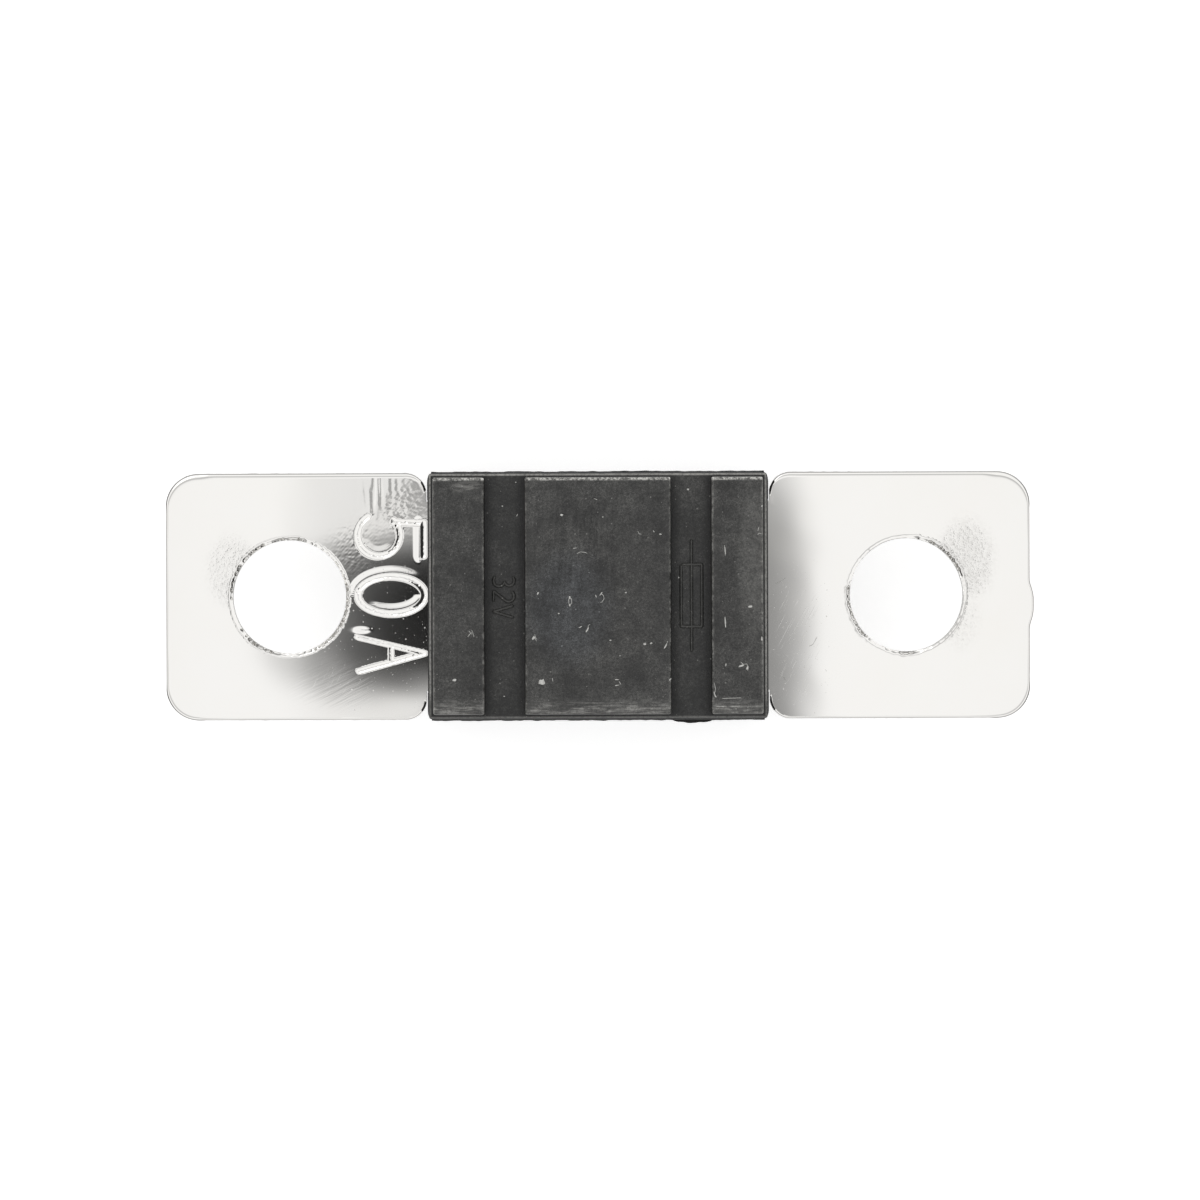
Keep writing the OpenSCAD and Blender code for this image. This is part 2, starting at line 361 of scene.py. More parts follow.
def strip_ripples(x, y):
    """Height of the plating's ripples: everywhere a trace, and more above and left of the 5,
    where pressing drew the metal."""
    calm = 0.00003 * waves(x, y, (1.6, 3.6), 14, 11)
    rough = np.zeros_like(x)
    for middle, reach, height in (
        ((-9.5, 4.6), (1.5, 1.1), 0.00007),
        ((-11.9, 2.4), (0.9, 1.4), 0.00004),
    ):
        off = ((x - middle[0]) / reach[0]) ** 2 + ((y - middle[1]) / reach[1]) ** 2
        rough += height * np.exp(-off)
    crinkle = waves(x, y, (0.13, 0.45), 60, 12)
    folds = waves(x, 0.1 * y, (0.2, 0.5), 14, 13)
    fold_share = 0.00028 * np.exp(-((x + 10.7) / 0.7) ** 2 - ((y - 5.0) / 1.1) ** 4)
    burr = 0.0012 * smooth((y - 4.3) / 2.0) * np.exp(-((x + 8.7) / 0.9) ** 2)
    dish = -0.0005 * np.exp(-((x + 9.9) / 0.5) ** 2 - ((y - 4.0) / 0.35) ** 2)
    blob = 0.004 * np.exp(-((x + 11.5) / 0.28) ** 2 - ((y + 1.62) / 0.1) ** 2)
    return calm + rough * crinkle + fold_share * folds + burr + dish + blob


# How far the rolled edge falls for its width, and the width of the broken edge outside it.
ROLL_FALL = 0.2
EDGE_BREAK = 0.07


def terminal(side, fine, coarse, rows, seed):
    """The points of one terminal as a closed grid, with one column for each point of the
    outline. Each column runs from the hole's upper rim out along the upper face, over the
    rolled edge, down the sheared wall, back along the underside and up the hole's wall.
    side is 1 on the right and -1 on the left, and returned is also which columns join."""
    outline = terminal_outline(fine, coarse, STUB_HEIGHT if side > 0 else 0.0)
    outline = outline * (side, 1)
    hole = np.array([side * HOLE_X, 0.0])
    ray = outline - hole
    reach = np.linalg.norm(ray, axis=1)
    ray = ray / reach[:, None]
    ahead, behind = np.roll(outline, -1, axis=0), np.roll(outline, 1, axis=0)
    normal = side * (ahead - behind)[:, ::-1] * (1, -1)
    normal /= np.linalg.norm(normal, axis=1)[:, None]
    joins = np.abs(outline[:, 0]) < JOIN_X + 0.001
    in_neck = np.abs(outline[:, 0]) < SHOULDER_X + 0.01
    corner = smooth((np.abs(outline[:, 0]) - (END_X - 2.2)) / 0.8)
    corner = corner * smooth((np.abs(outline[:, 1]) - 3.6) / 1.6)
    roll_width = 0.055 + 0.17 * np.clip(normal[:, 1], 0, 1) ** 2 + 0.13 * corner
    roll_width = np.where(in_neck, 0.004, roll_width)
    chamfer_slope = np.where(in_neck, 0.0, 0.8 - 0.35 * smooth((roll_width - 0.06) / 0.1))

    # The upper face: even rows from the rim's band to the edge's band, and closer ones there.
    edge_band, rim_band = 0.36, 0.2
    rim_rows, edge_rows = 7, 10
    angle = np.arctan2(ray[:, 1], ray[:, 0])
    rim_x = np.cos(angle) * 8
    rim_y = np.sin(angle) * 8
    torn = waves(rim_x, rim_y, (0.5, 1.6), 18, seed)
    torn_share = rim_tearing(side, angle)
    teeth = np.abs(waves(rim_x, rim_y, (0.35, 0.9), 16, seed + 4))
    rim_radius = HOLE_RADIUS + (0.012 * torn + 0.02 * teeth) * torn_share
    shares = []
    for row in range(rim_rows):
        shares.append(rim_radius + rim_band * row / rim_rows)
    for row in range(rows):
        start, end = rim_radius + rim_band, reach - edge_band
        shares.append(start + (end - start) * row / rows)
    for row in range(edge_rows + 1):
        shares.append(reach - edge_band * (1 - row / edge_rows) ** 1.7)
    radius = np.array(shares)
    x = hole[0] + radius * ray[:, 0]
    y = hole[1] + radius * ray[:, 1]
    inward = (reach - radius) * np.clip(np.sum(ray * normal, axis=1), 0.3, 1)
    rolled = np.clip(1 - inward / roll_width, 0, 1)
    z = STRIP_TOP - ROLL_FALL * roll_width * rolled ** 2.5
    z = z - chamfer_slope * np.clip(EDGE_BREAK - inward, 0, None)
    away = (radius - rim_radius) / rim_band
    rim_drop = (0.012 + (0.06 + 0.1 * teeth) * torn_share) * (1 - smooth(away)) ** 1.3
    crumbs = 0.014 * waves(x, y, (0.14, 0.35), 20, seed + 1)
    z = z - rim_drop + crumbs * torn_share * np.clip(1 - away, 0, 1)
    calm_edge = smooth(inward / 0.3) * smooth(away * 1.5)
    z = z + strip_ripples(x, y) * calm_edge
    if side < 0:
        z = z + pressed_rating(x, y) * smooth(inward / 0.08)
    z = np.where(in_neck & (inward < 0.02), STRIP_TOP, z)

    # The walls and the underside. The sheared wall is a little rough, and the hole's is torn.
    wall_shares = [0.25, 0.6, 0.9, 1.0]
    for share in wall_shares:
        height = z[-1] * (1 - share) if share < 1 else np.zeros_like(reach)
        bulge = 0.012 * np.sin(np.pi * share) * waves(outline[:, 0], outline[:, 1], (0.3, 0.9), 10, seed + 2)
        bulge = np.where(in_neck, 0, bulge)
        if share == wall_shares[0]:
            wall_x, wall_y, wall_z = [], [], []
        wall_x.append(outline[:, 0] + bulge * normal[:, 0])
        wall_y.append(outline[:, 1] + bulge * normal[:, 1])
        wall_z.append(height)
    under_shares = [0.04, 0.35, 0.7, 0.97]
    for share in under_shares:
        under = reach + (HOLE_RADIUS - reach) * share
        wall_x.append(hole[0] + under * ray[:, 0])
        wall_y.append(hole[1] + under * ray[:, 1])
        wall_z.append(np.zeros_like(reach))
    hole_shares = [0.0, 0.12, 0.3, 0.5, 0.7, 0.88]
    for share in hole_shares:
        tear = 0.018 * waves(rim_x, rim_y + 6 * share, (0.5, 1.4), 14, seed + 3)
        tear = tear * torn_share * np.sin(np.pi * min(1, share + 0.1))
        bore = HOLE_RADIUS + np.abs(tear) * 0.6
        wall_x.append(hole[0] + bore * ray[:, 0])
        wall_y.append(hole[1] + bore * ray[:, 1])
        wall_z.append(z[0] * share)
    points = np.stack([
        np.concatenate([x, wall_x]), np.concatenate([y, wall_y]), np.concatenate([z, wall_z]),
    ], axis=2)
    return points, joins, len(radius) - 1, len(radius) - 1 + len(wall_shares)


def rim_tearing(side, angle):
    """How torn the hole's rim is at each angle, from nearly smooth to fully torn."""
    peaks = [(2.5, 0.6), (1.5, 0.35), (-0.35, 0.7), (-2.1, 0.5)] if side < 0 else [
        (0.85, 0.6), (-2.7, 0.55), (-1.6, 0.25), (3.1, 0.13)]
    share = np.full(angle.shape, 0.2 if side < 0 else 0.08)
    for middle, reach in peaks:
        off = np.angle(np.exp(1j * (angle - middle)))
        share += 0.85 * np.exp(-(off / reach) ** 2)
    return np.clip(share, 0, 1.1)


def grid_faces(rows, columns, first, skip, turned):
    """Quads of a grid that closes on itself both ways, numbered row by row from first. The
    quads for which skip is true are left out, and turned reverses every quad."""
    row = np.arange(rows)[:, None]
    column = np.arange(columns)[None, :]
    next_row = (row + 1) % rows
    next_column = (column + 1) % columns
    quads = np.stack([
        row * columns + column, next_row * columns + column,
        next_row * columns + next_column, row * columns + next_column,
    ], axis=2)
    quads = quads[~skip]
    if turned:
        quads = quads[:, ::-1]
    return quads + first


vertices, faces = [], []
joining = {}
vertex_count = 0
for side, fine, coarse, rows, seed in ((-1, 0.042, 0.2, 84, 21), (1, 0.16, 0.2, 34, 31)):
    points, joins, edge_row, foot_row = terminal(side, fine, coarse, rows, seed)
    row_count, column_count = points.shape[:2]
    skip = np.zeros((row_count, column_count), bool)
    open_column = joins & np.roll(joins, -1)
    skip[edge_row:foot_row, open_column] = True
    vertices.append(points.reshape(-1, 3))
    faces += grid_faces(row_count, column_count, vertex_count, skip, turned=side < 0).tolist()
    # The open columns, in order round the outline, from the edge row down to the foot row.
    order = np.flatnonzero(joins)
    order = order[np.argsort(-points[edge_row, order, 1] * side)]
    joining[side] = vertex_count + order[None, :] + column_count * np.arange(
        edge_row, foot_row + 1)[:, None]
    vertex_count += row_count * column_count
strip_points = np.concatenate(vertices)

# The middle of the strip, inside the housing: two necks with a peg hole each, and the thin
# S-shaped ribbon that melts.
NECK_END_X = 2.8
PEG_HOLE_X = 6.5
PEG_HOLE_RADIUS = 0.96
RIBBON_WIDTH = 1.0
RIBBON_BEND = 0.9
RIBBON_LEG = 1.3


def middle_edge():
    """Points along one free edge of the middle, from the right join round the upper side of
    the ribbon to the left join. Turned half round, it is the other free edge."""
    inner, outer = RIBBON_BEND - RIBBON_WIDTH / 2, RIBBON_BEND + RIBBON_WIDTH / 2
    return np.concatenate([
        line((JOIN_X, NECK_HALF), (NECK_END_X, NECK_HALF), 0.8)[1:],
        line((NECK_END_X, NECK_HALF), (NECK_END_X, RIBBON_LEG), 0.6),
        line((NECK_END_X, RIBBON_LEG), (RIBBON_BEND + inner, RIBBON_LEG), 0.4),
        line((RIBBON_BEND + inner, RIBBON_LEG), (RIBBON_BEND + inner, 0), 0.4),
        arc((RIBBON_BEND, 0), inner, 360, 180, 0.1),
        arc((-RIBBON_BEND, 0), outer, 0, 180, 0.1),
        line((-RIBBON_BEND - outer, 0), (-RIBBON_BEND - outer, RIBBON_WIDTH - RIBBON_LEG), 0.4),
        line((-RIBBON_BEND - outer, RIBBON_WIDTH - RIBBON_LEG),
             (-NECK_END_X, RIBBON_WIDTH - RIBBON_LEG), 0.3),
        line((-NECK_END_X, RIBBON_WIDTH - RIBBON_LEG), (-NECK_END_X, NECK_HALF), 0.6),
        line((-NECK_END_X, NECK_HALF), (-JOIN_X, NECK_HALF), 0.8),
    ])


levels = STRIP_TOP * (1 - np.array([0, 0.25, 0.6, 0.9, 1.0]))
edge = middle_edge()
added, first_free = [], vertex_count


def add_loop(points):
    """Adds a loop of points at each level, and returns their numbers, a row for each level."""
    global vertex_count
    loop = np.stack([np.column_stack([points, np.full(len(points), level)]) for level in levels])
    added.append(loop.reshape(-1, 3))
    numbers = vertex_count + np.arange(loop.shape[0] * loop.shape[1]).reshape(loop.shape[:2])
    vertex_count += numbers.size
    return numbers


upper_edge = add_loop(edge)
lower_edge = add_loop(-edge)
# Anticlockwise from the right join: the upper edge, the left join, the lower edge.
rim = np.concatenate([joining[1][:, ::-1], upper_edge, joining[-1][:, ::-1], lower_edge], axis=1)
peg_angle = -np.linspace(0, 2 * np.pi, 48, endpoint=False)
peg_circle = PEG_HOLE_RADIUS * np.stack([np.cos(peg_angle), np.sin(peg_angle)], axis=1)
peg_rims = [add_loop(peg_circle + (x, 0)) for x in (PEG_HOLE_X, -PEG_HOLE_X)]
strip_points = np.concatenate([strip_points, *added])
closed_joins = set(np.concatenate([joining[1].ravel(), joining[-1].ravel()]).tolist())
for loop in (rim, *peg_rims):
    after = np.roll(loop, -1, axis=1)
    for row in range(len(levels) - 1):
        for here, there, here_low, there_low in zip(
            loop[row], after[row], loop[row + 1], after[row + 1]
        ):
            if not {here, there} <= closed_joins or abs(
                strip_points[here][0] - strip_points[there][0]
            ) > 1:
                faces.append([int(here), int(here_low), int(there_low), int(there)])
for row, upward in ((0, True), (len(levels) - 1, False)):
    loops = [loop[row] for loop in (rim, *peg_rims)]
    numbers = np.concatenate(loops)
    corners = tessellate_polygon([[(*strip_points[n][:2], 0) for n in loop] for loop in loops])
    triangles = numbers[np.array(corners)]
    a, b, c = (strip_points[triangles[:, corner], :2] for corner in range(3))
    turns = (b - a)[:, 0] * (c - a)[:, 1] - (b - a)[:, 1] * (c - a)[:, 0]
    if (turns.sum() > 0) != upward:
        triangles = triangles[:, ::-1]
    faces += triangles.tolist()

strip_mesh = bpy.data.meshes.new("strip")
strip_mesh.from_pydata((strip_points * MM).tolist(), [], faces)
strip_mesh.validate()
strip_mesh.shade_smooth()
strip_mesh.set_sharp_from_angle(angle=np.radians(50))
strip = bpy.data.objects.new("strip", strip_mesh)
bpy.context.scene.collection.objects.link(strip)


def new_material(name):
    """An empty node material, and its tree."""
    material = bpy.data.materials.new(name)
    material.use_nodes = True
    material.node_tree.nodes.clear()
    return material, material.node_tree


def noise(tree, vector, scale, detail=2.0, roughness=0.5):
    """The output of a noise texture, from 0 to 1, at a scale in waves to the metre."""
    return add_node(tree, "ShaderNodeTexNoise", Vector=vector, Scale=scale, Detail=detail,
                    Roughness=roughness).outputs["Fac"]


def in_millimetres(tree):
    """The place on the object in millimetres, as a vector and as its three parts."""
    place = add_node(tree, "ShaderNodeTexCoord").outputs["Object"]
    scaled = add_node(tree, "ShaderNodeVectorMath", {"operation": "SCALE"}, i0=place)
    scaled.inputs["Scale"].default_value = 1 / MM
    parts = add_node(tree, "ShaderNodeSeparateXYZ", Vector=scaled.outputs[0]).outputs
    return scaled.outputs[0], parts["X"], parts["Y"], parts["Z"]


def streaks(tree, place, angle, along, across, seed):
    """Noise drawn out into streaks: angle in degrees, lengths in millimetres."""
    turned = add_node(tree, "ShaderNodeMapping", Vector=place)
    turned.inputs["Location"].default_value = (seed, seed * 0.7, 0)
    turned.inputs["Rotation"].default_value = (0, 0, -np.radians(angle))
    turned.inputs["Scale"].default_value = (1, 1, 1)
    drawn = add_node(tree, "ShaderNodeMapping", Vector=turned.outputs[0])
    drawn.inputs["Scale"].default_value = (1 / along, 1 / across, 1)
    return noise(tree, drawn.outputs[0], 1.0, 3, 0.6)


def around(tree, x, y, middle, reach):
    """A mask that is 1 at a place and fades out smoothly at its reach each way."""
    off_x = maths(tree, "DIVIDE", maths(tree, "SUBTRACT", x, middle[0]), reach[0])
    off_y = maths(tree, "DIVIDE", maths(tree, "SUBTRACT", y, middle[1]), reach[1])
    off = maths(tree, "ADD", maths(tree, "MULTIPLY", off_x, off_x),
                maths(tree, "MULTIPLY", off_y, off_y))
    return soft_step(tree, off, 0.1, 1.0, 1.0, 0.0)


def specks(tree, place, pitch, share, size):
    """A mask of small round specks, seen from above: one in a share of the cells that are a
    pitch apart."""
    cells = add_node(tree, "ShaderNodeTexVoronoi", {"voronoi_dimensions": "2D"},
                     Vector=place, Scale=1 / pitch)
    parts = add_node(tree, "ShaderNodeSeparateColor", Color=cells.outputs["Color"]).outputs
    chosen = maths(tree, "LESS_THAN", parts[0], share)
    reach = maths(tree, "MULTIPLY", maths(tree, "ADD", parts[1], 0.3), size / pitch)
    inside = maths(tree, "LESS_THAN", cells.outputs["Distance"], reach)
    return maths(tree, "MULTIPLY", chosen, inside)


plating, tree = new_material("bright_plating")
place, x, y, z = in_millimetres(tree)
cloud = noise(tree, place, 0.26, 3)
tone = add_node(tree, "ShaderNodeMix", {"data_type": "RGBA"}, i0=cloud,
                i6=(0.91, 0.892, 0.855, 1), i7=(0.93, 0.921, 0.905, 1)).outputs["Result"]
dust = maths(tree, "MAXIMUM", specks(tree, place, 0.5, 0.3, 0.03),
             specks(tree, place, 0.19, 0.16, 0.017))
dust = maths(tree, "MULTIPLY", dust, soft_step(tree, z, STRIP_TOP - 0.06, STRIP_TOP - 0.02))
dust = maths(tree, "MULTIPLY", dust, maths(tree, "MAXIMUM",
             around(tree, x, y, (-10.4, -2.2), (3.4, 4.2)),
             around(tree, x, y, (9.8, -2.0), (1.8, 4.5))))
tone = add_node(tree, "ShaderNodeMix", {"data_type": "RGBA"}, i0=dust, i6=tone,
                i7=(0.8, 0.78, 0.75, 1)).outputs["Result"]
# The sheared walls are duller, with marks down them.
wall = maths(tree, "MULTIPLY", soft_step(tree, z, 0.01, 0.08),
             soft_step(tree, z, 0.8, 0.88, 1.0, 0.0))
upright = add_node(tree, "ShaderNodeMapping", Vector=place)
upright.inputs["Scale"].default_value = (7.0, 7.0, 0.9)
marks_down = noise(tree, upright.outputs[0], 1.0, 3, 0.7)
sheared = add_node(tree, "ShaderNodeMix", {"data_type": "RGBA"}, i0=marks_down,
                   i6=(0.42, 0.41, 0.39, 1), i7=(0.8, 0.785, 0.76, 1)).outputs["Result"]
tone = add_node(tree, "ShaderNodeMix", {"data_type": "RGBA"}, i0=wall, i6=tone,
                i7=sheared).outputs["Result"]
bright = maths(tree, "SUBTRACT", maths(tree, "SUBTRACT", 1.0, dust), maths(tree, "MULTIPLY", wall, 0.4))
scratched = maths(tree, "MAXIMUM", around(tree, x, y, (-13.0, -4.2), (1.9, 1.5)),
                  around(tree, x, y, (9.6, -2.0), (1.6, 4.0)))
lines = soft_step(tree, streaks(tree, place, 62, 1.6, 0.05, 3.0), 0.6, 0.72)
lines = maths(tree, "MULTIPLY", lines, scratched)
wiped = streaks(tree, place, 27, 1.8, 0.13, 8.0)
wiped = maths(tree, "MULTIPLY", wiped, around(tree, x, y, (-13.2, -4.0), (2.8, 2.4)))
dull = maths(tree, "ADD", 0.012, maths(tree, "MULTIPLY", cloud, 0.012))
dull = maths(tree, "ADD", dull, maths(tree, "MULTIPLY", dust, 0.5))
dull = maths(tree, "ADD", dull, maths(tree, "MULTIPLY", wall, 0.27))
height = maths(tree, "ADD", maths(tree, "MULTIPLY", lines, 0.16), maths(tree, "MULTIPLY", wiped, 0.62))
# Where the punch drew the metal beside the holes, the plating is wrinkled like leather.
drawn_share = maths(tree, "MAXIMUM", around(tree, x, y, (17.9, 1.7), (1.8, 2.6)),
                    maths(tree, "MULTIPLY", around(tree, x, y, (17.6, -1.2), (1.3, 1.9)), 0.5))
drawn_share = maths(tree, "MAXIMUM", drawn_share,
                    maths(tree, "MULTIPLY", around(tree, x, y, (-17.9, 1.3), (1.6, 2.3)), 0.35))
leather = noise(tree, place, 6.5, 3, 0.6)
# The furrows between the wrinkles are also painted darker: painted shade in the creases.
furrow_painted_shade = maths(tree, "MULTIPLY", soft_step(tree, leather, 0.34, 0.62, 0.27, 0.02), drawn_share)
tone = add_node(tree, "ShaderNodeMix", {"data_type": "RGBA"}, i0=furrow_painted_shade, i6=tone,
                i7=(0.5, 0.485, 0.46, 1)).outputs["Result"]
leather = maths(tree, "MULTIPLY", maths(tree, "SUBTRACT", leather, 0.5), drawn_share)
wrinkled = add_node(tree, "ShaderNodeBump", Strength=1.0, Distance=0.0032 * MM, Height=leather)
peel = add_node(tree, "ShaderNodeBump", Strength=1.0, Distance=0.00014 * MM, Height=height,
                Normal=wrinkled.outputs["Normal"])
metal = add_node(tree, "ShaderNodeBsdfPrincipled", Base_Color=tone, Metallic=bright,
                 Roughness=dull, Normal=peel.outputs["Normal"])
add_node(tree, "ShaderNodeOutputMaterial", Surface=metal.outputs[0])
strip_mesh.materials.append(plating)
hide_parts("fuse_strip")
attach(strip, "root")


# The housing: two shells moulded in black plastic and welded together round the strip. The
# upper one carries the scuffs and specks of handling on its pads.
PARTING_Z = 0.5
WALL_TOP = 3.2
PAD_TOP = 4.0
PAD_EDGES = (3.54, 5.49, 7.98)
PAD_SIDE = 5.73

black, tree = new_material("black_plastic")
place, x, y, z = in_millimetres(tree)
side_x = maths(tree, "ABSOLUTE", x)
side_y = maths(tree, "ABSOLUTE", y)
height = maths(tree, "ABSOLUTE", maths(tree, "SUBTRACT", z, PARTING_Z))
on_pad = soft_step(tree, height, PAD_TOP - 0.25, PAD_TOP - 0.05)
from_edges = [maths(tree, "ABSOLUTE", maths(tree, "SUBTRACT", side_x, edge)) for edge in PAD_EDGES]
from_edge_x = maths(tree, "MINIMUM", maths(tree, "MINIMUM", from_edges[0], from_edges[1]),
                    from_edges[2])
from_edge_y = maths(tree, "ABSOLUTE", maths(tree, "SUBTRACT", side_y, PAD_SIDE))

cloud = noise(tree, place, 0.45, 4, 0.6)
mottle = noise(tree, place, 2.6, 4, 0.7)
grain = noise(tree, place, 22.0, 2, 0.6)
grit = noise(tree, place, 8.0, 3, 0.8)
chips = noise(tree, place, 7.0, 4, 0.75)
drawn = streaks(tree, place, 86, 2.6, 0.2, 5.0)
drawn = maths(tree, "MULTIPLY", maths(tree, "SUBTRACT", drawn, 0.5),
              around(tree, x, y, (-1.4, 2.6), (3.2, 4.0)))

# How light the plastic is: the grooves and walls are painted darker than the pads, as painted shade in the
# recesses.
light = maths(tree, "ADD", 0.016, maths(tree, "MULTIPLY", on_pad, 0.013))
light = maths(tree, "MULTIPLY", light, soft_step(tree, cloud, 0.28, 0.72, 0.55, 1.5))
light = maths(tree, "MULTIPLY", light, soft_step(tree, mottle, 0.2, 0.8, 0.55, 1.6))
light = maths(tree, "MULTIPLY", light, soft_step(tree, grain, 0.3, 0.7, 0.5, 1.6))
light = maths(tree, "MULTIPLY", light, soft_step(tree, grit, 0.25, 0.75, 0.35, 1.9))
light = maths(tree, "ADD", light, maths(tree, "MULTIPLY", drawn, 0.075))
hairlines = maths(
    tree, "MAXIMUM", soft_step(tree, streaks(tree, place, 74, 1.1, 0.035, 11.0), 0.62, 0.7),
    maths(tree, "MAXIMUM", soft_step(tree, streaks(tree, place, -48, 0.8, 0.03, 17.0), 0.64, 0.72),
          soft_step(tree, streaks(tree, place, 15, 0.9, 0.03, 23.0), 0.65, 0.73)),
)
hairlines = maths(tree, "MULTIPLY", hairlines, soft_step(tree, cloud, 0.35, 0.65))
light = maths(tree, "ADD", light, maths(tree, "MULTIPLY", maths(tree, "MULTIPLY", hairlines, on_pad), 0.035))
# Painted shade: the grooves are painted darker next to the pads' walls, where shade falls in the corners.
corner_painted_shade = maths(tree, "MULTIPLY", soft_step(tree, from_edge_x, 0.05, 0.55, 0.6, 0.0),
                  maths(tree, "SUBTRACT", 1.0, on_pad))
light = maths(tree, "MULTIPLY", light, maths(tree, "SUBTRACT", 1.0, corner_painted_shade))
pale_groove = around(tree, x, y, (4.5, 4.2), (1.6, 4.0))
light = maths(tree, "MULTIPLY", light,
              maths(tree, "ADD", 1.0, maths(tree, "MULTIPLY", pale_groove, 0.55)))

# Wear: thin along the pads' long edges, broken at the +Y ends, scuffed at the -Y ends. A
# painted highlight brightens the +Y ends, and another runs round the top edge of the wall.
thin_wear = soft_step(tree, from_edge_x, 0.02, 0.14, 1.0, 0.0)
thin_wear = maths(tree, "MULTIPLY", thin_wear, soft_step(tree, mottle, 0.4, 0.6, 0.25, 1.0))
# Chipped wear with a painted highlight: the +Y ends of the pads are painted bright in a broken line.
end_wear_and_painted_highlight = soft_step(tree, y, PAD_SIDE - 0.2, PAD_SIDE - 0.08)
end_wear_and_painted_highlight = maths(tree, "MULTIPLY", end_wear_and_painted_highlight, soft_step(tree, chips, 0.42, 0.58, 0.1, 1.0))
scuff = soft_step(tree, y, -5.6, -4.8, 1.0, 0.0)
scuff = maths(tree, "MULTIPLY", scuff, soft_step(tree, streaks(tree, place, 0, 0.9, 0.09, 2.0),
                                                 0.42, 0.66, 0.15, 1.0))
scuff = maths(tree, "MULTIPLY", scuff, soft_step(tree, chips, 0.35, 0.65, 0.5, 1.5))
upper_scuff = maths(tree, "MULTIPLY", around(tree, x, y, (-6.3, 5.3), (0.9, 0.35)),
                    soft_step(tree, streaks(tree, place, 0, 1.0, 0.1, 4.0), 0.4, 0.65))
thin_wear = maths(tree, "MULTIPLY", thin_wear, soft_step(tree, chips, 0.4, 0.6, 0.5, 1.6))
wear = maths(tree, "MULTIPLY", thin_wear, 0.15)
wear = maths(tree, "ADD", wear, maths(tree, "MULTIPLY", end_wear_and_painted_highlight, 0.62))
wear = maths(tree, "ADD", wear, maths(tree, "MULTIPLY", scuff, 0.17))
rubbed = maths(tree, "MULTIPLY", around(tree, x, y, (7.5, 1.6), (0.9, 4.4)),
               soft_step(tree, chips, 0.35, 0.65, 0.2, 1.0))
wear = maths(tree, "ADD", wear, maths(tree, "MULTIPLY", rubbed, 0.06))
wear = maths(tree, "ADD", wear, maths(tree, "MULTIPLY", upper_scuff, 0.13))
light = maths(tree, "ADD", light, maths(tree, "MULTIPLY", wear, on_pad))
# Painted highlight: the top edge round the wall is painted pale, paler towards +Y.
rim = maths(tree, "MULTIPLY", soft_step(tree, height, WALL_TOP - 0.2, WALL_TOP - 0.06),
            soft_step(tree, height, WALL_TOP + 0.1, WALL_TOP + 0.3, 1.0, 0.0))
outside = maths(tree, "MAXIMUM", soft_step(tree, side_x, 8.04, 8.1), soft_step(tree, side_y, 5.79, 5.85))
rim = maths(tree, "MULTIPLY", rim, outside)
rim = maths(tree, "MULTIPLY", rim, soft_step(tree, y, -5.5, -4.5, 0.1, 0.28))
rim = maths(tree, "MULTIPLY", rim, soft_step(tree, chips, 0.3, 0.6, 0.4, 1.2))
below_rim = soft_step(tree, height, WALL_TOP - 0.25, WALL_TOP - 0.1)
# Painted shade: the walls below the rim are painted half as light as the rest.
light = maths(tree, "MULTIPLY", light, maths(tree, "ADD", 0.5, maths(tree, "MULTIPLY", below_rim, 0.5)))
light = maths(tree, "ADD", light, rim)
seam = soft_step(tree, height, 0.02, 0.05, 1.0, 0.0)
light = maths(tree, "MULTIPLY", light, maths(tree, "SUBTRACT", 1.0, maths(tree, "MULTIPLY", seam, 0.8)))
# Painted highlight: the raised groove marks, and a thin band at the foot of the pads' walls, are painted
# paler.
ridge = maths(tree, "MULTIPLY", soft_step(tree, height, WALL_TOP + 0.02, WALL_TOP + 0.05),
              soft_step(tree, height, WALL_TOP + 0.08, WALL_TOP + 0.12, 1.0, 0.0))
light = maths(tree, "ADD", light, maths(tree, "MULTIPLY", ridge, 0.022))
nicks = maths(tree, "MAXIMUM", specks(tree, place, 0.6, 0.3, 0.028),
              specks(tree, place, 0.25, 0.2, 0.014))
nicks = maths(tree, "MULTIPLY", nicks, below_rim)
light = maths(tree, "ADD", light, maths(tree, "MULTIPLY", nicks, 0.13))
blue = maths(tree, "MULTIPLY", around(tree, x, y, (-1.4, -0.6), (2.6, 3.4)), on_pad)
tint = add_node(tree, "ShaderNodeMix", {"data_type": "RGBA"}, i0=blue,
                i6=(1.0, 0.985, 0.93, 1), i7=(0.95, 0.99, 1.03, 1)).outputs["Result"]
tone = add_node(tree, "ShaderNodeVectorMath", {"operation": "SCALE"}, i0=tint)
tree.links.new(light, tone.inputs["Scale"])
gloss = soft_step(tree, mottle, 0.2, 0.8, 0.38, 0.56)
gloss = maths(tree, "SUBTRACT", 0.85, maths(tree, "MULTIPLY", below_rim,
                                            maths(tree, "SUBTRACT", 0.85, gloss)))
texture = maths(tree, "ADD", grain, maths(tree, "MULTIPLY", chips, 0.8))
pitted = add_node(tree, "ShaderNodeBump", Strength=0.8, Distance=0.014 * MM, Height=texture)
plastic = add_node(tree, "ShaderNodeBsdfPrincipled", Base_Color=tone.outputs[0],
                   Roughness=gloss, Normal=pitted.outputs["Normal"])
add_node(tree, "ShaderNodeOutputMaterial", Surface=plastic.outputs[0])
for name in ("upper_shell", "lower_shell"):
    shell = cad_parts[name]
    for slot in shell.material_slots:
        slot.material = black


# The marks in the two grooves of the upper shell: plain figures in the left one and a plain
# symbol in the right one, raised by the mould, and one piece with the shell in real life.
GROOVE_FLOOR = PARTING_Z + WALL_TOP
MARK_HALF = 0.09
MARK_HEIGHT = 0.085


